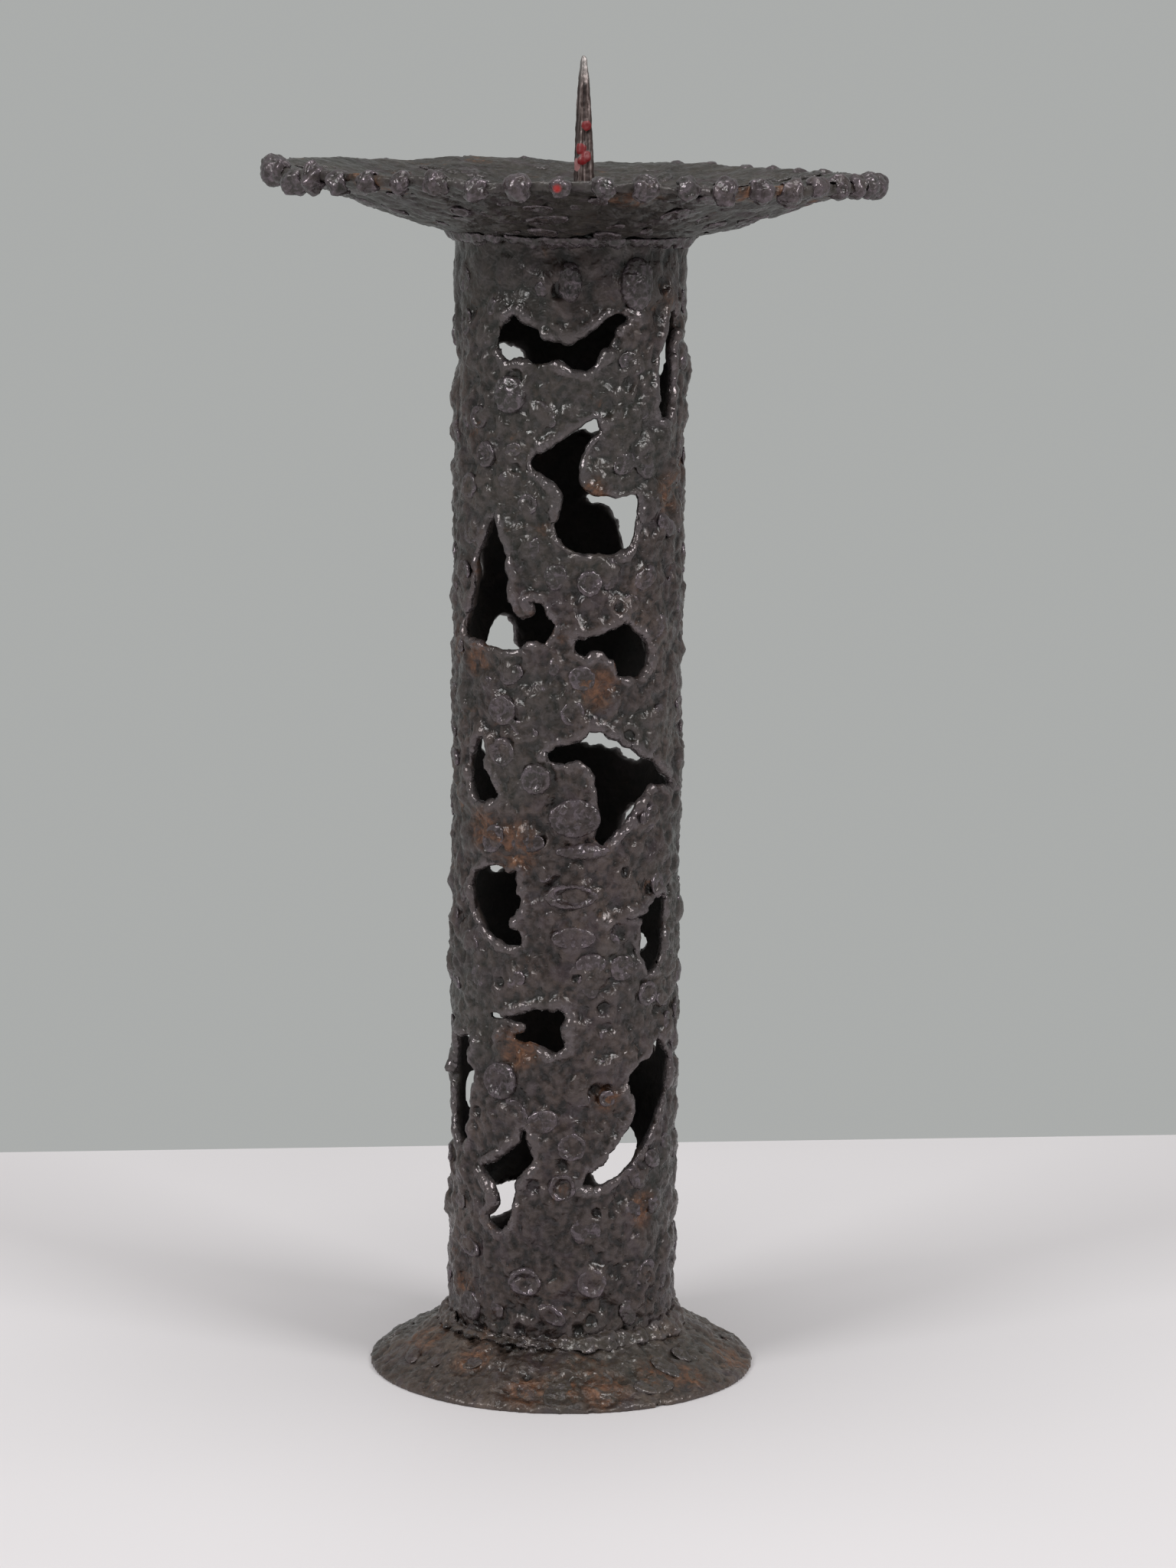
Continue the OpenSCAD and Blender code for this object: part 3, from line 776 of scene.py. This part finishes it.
# %% The iron recipe
def iron(name, dark, mid, light, shine, rust_share, rough, glint=(0.2, 0.18, 0.19), specular=0.5):
    """glint is the colour of bare bright spots, and rust_share is how much stray rust there is."""
    made, tree, shader, where = blank(name)
    shader.inputs["Specular IOR Level"].default_value = specular
    broad = noise(tree, where, 45, 4, 0.6, 0.4)
    small = noise(tree, where, 330, 6, 0.65, 0.6)
    grain = noise(tree, where, 900, 1, 0.5)
    relief = painted(tree, "relief")
    oxide = ramp(tree, maths(tree, "ADD", maths(tree, "MULTIPLY", broad, 0.5),
                             maths(tree, "MULTIPLY", small, 0.5)),
                 (0.3, dark), (0.5, mid), (0.68, light))
    # Painted shade: recesses are darkened towards the dark oxide tone. Raised places are mixed lighter.
    hollow_shade = mask(tree, relief, 0.5, 0.1)
    raised = mask(tree, relief, 0.5, 0.95)
    tone = mix(tree, maths(tree, "MULTIPLY", hollow_shade, 0.9), oxide, (*dark, 1))
    tone = mix(tree, maths(tree, "MULTIPLY", raised, 0.35), tone, (*light, 1))
    purple_spots = mask(tree, noise(tree, where, 90, 3, 0.5, 1.0), 0.52, 0.66)
    tone = mix(tree, maths(tree, "MULTIPLY", purple_spots, 0.5), tone, (0.042, 0.029, 0.034, 1))
    green_patches = mask(tree, noise(tree, where, 16, 3, 0.5, 0.3), 0.48, 0.6)
    tone = mix(tree, maths(tree, "MULTIPLY", green_patches, 0.45), tone, (0.026, 0.0275, 0.0225, 1))
    rust_breakup = mask(tree, noise(tree, where, 160, 6, 0.7, 0.8), 0.38, 0.58)
    stray_rust = mask(tree, noise(tree, where, 60, 5, 0.65, 0.5), 0.6, 0.75)
    rust = maths(tree, "MULTIPLY", rust_breakup,
                 maths(tree, "ADD", painted(tree, "rust"), maths(tree, "MULTIPLY", stray_rust, rust_share)))
    rust_tone = ramp(tree, small, (0.35, (0.035, 0.018, 0.012)), (0.5, (0.09, 0.039, 0.02)),
                     (0.66, (0.19, 0.085, 0.04)))
    tone = mix(tree, maths(tree, "MULTIPLY", rust, 0.85), tone, rust_tone)
    # Painted shade: the inside wall of the tube is darkened towards near black; there it has no bare spots
    # and is rough.
    inner_wall_shade = painted(tree, "inner_wall_shade")
    tone = mix(tree, maths(tree, "MULTIPLY", inner_wall_shade, 0.7), tone, (0.012, 0.012, 0.011, 1))
    glossy_spots = mask(tree, noise(tree, where, 430, 4, 0.65, 0.8), 0.5, 0.6)
    bare = maths(tree, "MULTIPLY", maths(tree, "ADD", painted(tree, "bare"), 0.35),
                 maths(tree, "ADD", maths(tree, "MULTIPLY", glossy_spots, 0.6),
                       maths(tree, "MULTIPLY", raised, 0.5)))
    bare = maths(tree, "SUBTRACT", bare, rust)
    bare = maths(tree, "SUBTRACT", bare, inner_wall_shade)
    wax = painted(tree, "wax")
    tone = mix(tree, maths(tree, "MULTIPLY", bare, 0.55), tone, (*glint, 1))
    tone = mix(tree, wax, tone, (0.3, 0.014, 0.012, 1))
    tree.links.new(tone, shader.inputs["Base Color"])
    tree.links.new(mix_value(tree, bare, 0.1, shine), shader.inputs["Metallic"])
    dull = add(tree, "MapRange", {"Value": small, "From Min": 0.3, "From Max": 0.7, "To Min": rough - 0.14,
                                  "To Max": rough + 0.16}).outputs["Result"]
    outer_rough = mix_value(tree, bare, dull, 0.24)
    tree.links.new(mix_value(tree, inner_wall_shade, outer_rough, 0.85), shader.inputs["Roughness"])
    runs = noise(tree, where, 240, 2, 0.5, 0.5)
    coarse = add(tree, "Bump", {"Height": runs, "Strength": 1.0, "Distance": 1.1 * MM})
    fine = add(tree, "Bump", {"Height": grain, "Strength": 0.35, "Distance": 0.2 * MM,
                              "Normal": coarse.outputs["Normal"]})
    tree.links.new(fine.outputs["Normal"], shader.inputs["Normal"])
    return made


DARK = (0.006, 0.0048, 0.0043)
MID = (0.026, 0.0168, 0.0142)
LIGHT = (0.072, 0.05, 0.0415)
column_iron = iron("column iron", DARK, MID, LIGHT, shine=0.8, rough=0.27, rust_share=0.8, specular=0.4)
weld_iron = iron("weld metal", DARK, (0.027, 0.0188, 0.0178), (0.075, 0.056, 0.054), shine=0.9,
                 rough=0.27, glint=(0.26, 0.22, 0.25), rust_share=0.6)
pan_iron = iron("pan iron", DARK, (0.023, 0.0192, 0.0155), (0.052, 0.044, 0.036), shine=0.7, rust_share=0.8,
                rough=0.38, specular=0.3)
foot_iron = iron("foot iron", (0.01, 0.0068, 0.0054), (0.044, 0.029, 0.022), (0.11, 0.08, 0.062), shine=0.8,
                 rust_share=1.0, rough=0.3)


def spike_finish():
    made, tree, shader, where = blank("spike steel")
    along = add(tree, "Mapping", {"Vector": where, "Scale": (1, 1, 0.08)}).outputs["Vector"]
    streaks = noise(tree, along, 900, 4, 0.6)
    patches = noise(tree, where, 220, 5, 0.6, 0.5)
    brown = ramp(tree, streaks, (0.38, (0.016, 0.009, 0.008)), (0.53, (0.05, 0.03, 0.026)),
                 (0.68, (0.24, 0.19, 0.18)))
    tone = mix(tree, maths(tree, "MULTIPLY", painted(tree, "bare"), 0.8), brown, (0.34, 0.31, 0.3, 1))
    ragged = maths(tree, "MULTIPLY", noise(tree, where, 700, 4, 0.7), 0.9)
    wax = mask(tree, maths(tree, "SUBTRACT", painted(tree, "wax"), ragged), 0.0, 0.12)
    pink = mask(tree, maths(tree, "SUBTRACT", painted(tree, "pink"), ragged), 0.0, 0.12)
    tone = mix(tree, pink, tone, (0.3, 0.13, 0.13, 1))
    tone = mix(tree, wax, tone, (0.17, 0.008, 0.01, 1))
    tree.links.new(tone, shader.inputs["Base Color"])
    metal = maths(tree, "SUBTRACT", mix_value(tree, painted(tree, "bare"), 0.45, 0.95),
                  maths(tree, "ADD", wax, pink))
    tree.links.new(metal, shader.inputs["Metallic"])
    tree.links.new(mix_value(tree, patches, 0.25, 0.6), shader.inputs["Roughness"])
    bump = add(tree, "Bump", {"Height": streaks, "Strength": 0.5, "Distance": 0.2 * MM})
    tree.links.new(bump.outputs["Normal"], shader.inputs["Normal"])
    return made


spike_steel = spike_finish()

# %% Materials on the pieces
for piece, finish in [
    (column, column_iron), (upper_drops, weld_iron), (middle_drops, weld_iron), (lower_drops, weld_iron),
    (underside_drops, weld_iron), (floor_drops, pan_iron), (foot_puddles, foot_iron), (pan, pan_iron),
    (rim_beads, weld_iron), (foot, foot_iron), (foot_seam, foot_iron), (pan_seam, weld_iron),
    (spike_seam, weld_iron), (spike, spike_steel),
]:
    piece.data.materials.clear()
    piece.data.materials.append(finish)

# %% [markdown]
# ## Table, backdrop and light
# The table is a pale sheet whose back edge shows behind the foot. Past it the camera, and anything
# glossy, sees a plain grey-green wall. Two large soft lamps from the left and right front give the
# wide faint shadows on both sides of the foot.

# %% Table
TABLE_EDGE = [Vector((-228.0, 281.3, 0)) * MM, Vector((251.6, 330.5, 0)) * MM]
TABLE_REACH = 2.5


def make_table():
    left, right = TABLE_EDGE
    along = (right - left).normalized()
    behind = Vector((-along.y, along.x, 0))
    middle = (left + right) / 2
    bpy.ops.object.select_all(action="DESELECT")
    bpy.ops.mesh.primitive_plane_add(size=TABLE_REACH, location=(0, 0, 0))
    table = bpy.context.object
    table.name = "table"
    turn = Matrix.Rotation(math.atan2(along.y, along.x), 4, "Z")
    table.data.transform(Matrix.Translation(middle - behind * TABLE_REACH / 2) @ turn)
    made, tree, shader, where = blank("table white")
    paper = ramp(tree, noise(tree, where, 3, 2), (0.3, (0.63, 0.61, 0.62)), (0.7, (0.665, 0.642, 0.652)))
    tree.links.new(paper, shader.inputs["Base Color"])
    shader.inputs["Roughness"].default_value = 0.6
    table.data.materials.append(made)


make_table()


# %% Wall colour and light
def make_world():
    world = bpy.data.worlds.new("studio")
    bpy.context.scene.world = world
    world.use_nodes = True
    tree = world.node_tree
    tree.nodes.clear()
    path = add(tree, "LightPath")
    seen = maths(tree, "MAXIMUM", path.outputs["Is Camera Ray"],
                 maths(tree, "MAXIMUM", path.outputs["Is Glossy Ray"], path.outputs["Is Transmission Ray"]))
    wall = add(tree, "Background", {"Color": (0.405, 0.415, 0.408, 1), "Strength": 1.0})
    fill = add(tree, "Background", {"Color": (1, 0.99, 0.98, 1), "Strength": 0.5})
    both = add(tree, "MixShader", {0: seen, 1: fill.outputs[0], 2: wall.outputs[0]})
    add(tree, "OutputWorld", {"Surface": both.outputs[0]})


def make_lamp(name, place, size, power):
    data = bpy.data.lights.new(name, "AREA")
    data.shape = "RECTANGLE"
    data.size, data.size_y = size
    data.energy = power
    lamp = bpy.data.objects.new(name, data)
    bpy.context.scene.collection.objects.link(lamp)
    lamp.location = place
    aim = Vector((0, 0, 0.2)) - Vector(place)
    lamp.rotation_euler = aim.to_track_quat("-Z", "Y").to_euler()


make_world()
make_lamp("left softbox", (-1.3, -1.1, 1.3), (0.6, 0.7), 18)
make_lamp("right softbox", (1.3, -1.0, 1.3), (0.6, 0.7), 18)
make_lamp("top softbox", (0.0, -0.1, 1.9), (0.8, 0.8), 9)
bpy.context.scene.view_settings.view_transform = "Standard"
